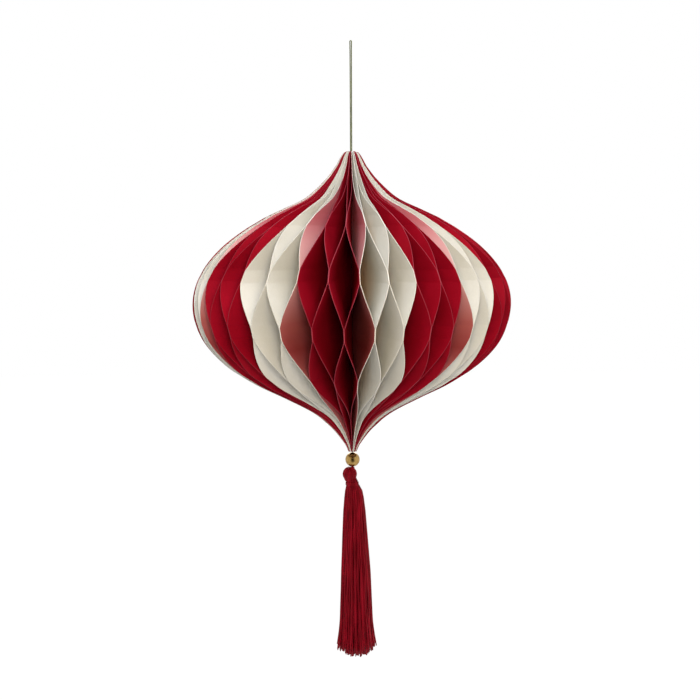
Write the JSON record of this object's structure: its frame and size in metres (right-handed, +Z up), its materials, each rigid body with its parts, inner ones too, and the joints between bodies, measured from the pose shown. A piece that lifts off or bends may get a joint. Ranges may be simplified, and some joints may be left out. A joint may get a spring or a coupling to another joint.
{
  "type": "honeycomb paper hanging ornament",
  "caption": "Onion-shaped honeycomb paper ornament that hangs from a thread loop, its leaves glued in staggered open cells, with a round bead and a long tassel below.",
  "frame": {"origin": "the point inside the top of the hanging loop that rests on its hook", "axes": "+Z up along the ornament's axis, -Y towards the viewer, +X to the viewer's right"},
  "size_m": [0.1999, 0.1998, 0.3918],
  "materials": {
    "red_paper": "satin",
    "cream_paper": "satin",
    "gold_thread": "satin",
    "white_thread": "matte",
    "binding_glue": "matte",
    "brass": "polished",
    "tassel_thread": "satin"
  },
  "bodies": {
    "root": {"hanging_loop": "gold_thread", "loop_knot": "gold_thread", "spine_binding": "binding_glue", "core_thread": "white_thread", "bead": "brass", "tassel_cord": "tassel_thread", "tassel_head": "tassel_thread", "tassel_wrap": "tassel_thread", "tassel_skirt": "tassel_thread", "red_leaves_1": "red_paper", "red_leaves_2": "red_paper", "red_leaves_3": "red_paper", "red_leaves_4": "red_paper", "red_leaves_5": "red_paper", "red_leaves_6": "red_paper", "red_leaves_7": "red_paper", "red_leaves_8": "red_paper", "red_leaves_9": "red_paper", "cream_leaves_1": "cream_paper", "cream_leaves_2": "cream_paper", "cream_leaves_3": "cream_paper", "cream_leaves_4": "cream_paper", "cream_leaves_5": "cream_paper", "cream_leaves_6": "cream_paper", "cream_leaves_7": "cream_paper", "cream_leaves_8": "cream_paper", "cream_leaves_9": "cream_paper"}
  },
  "joints": []
}
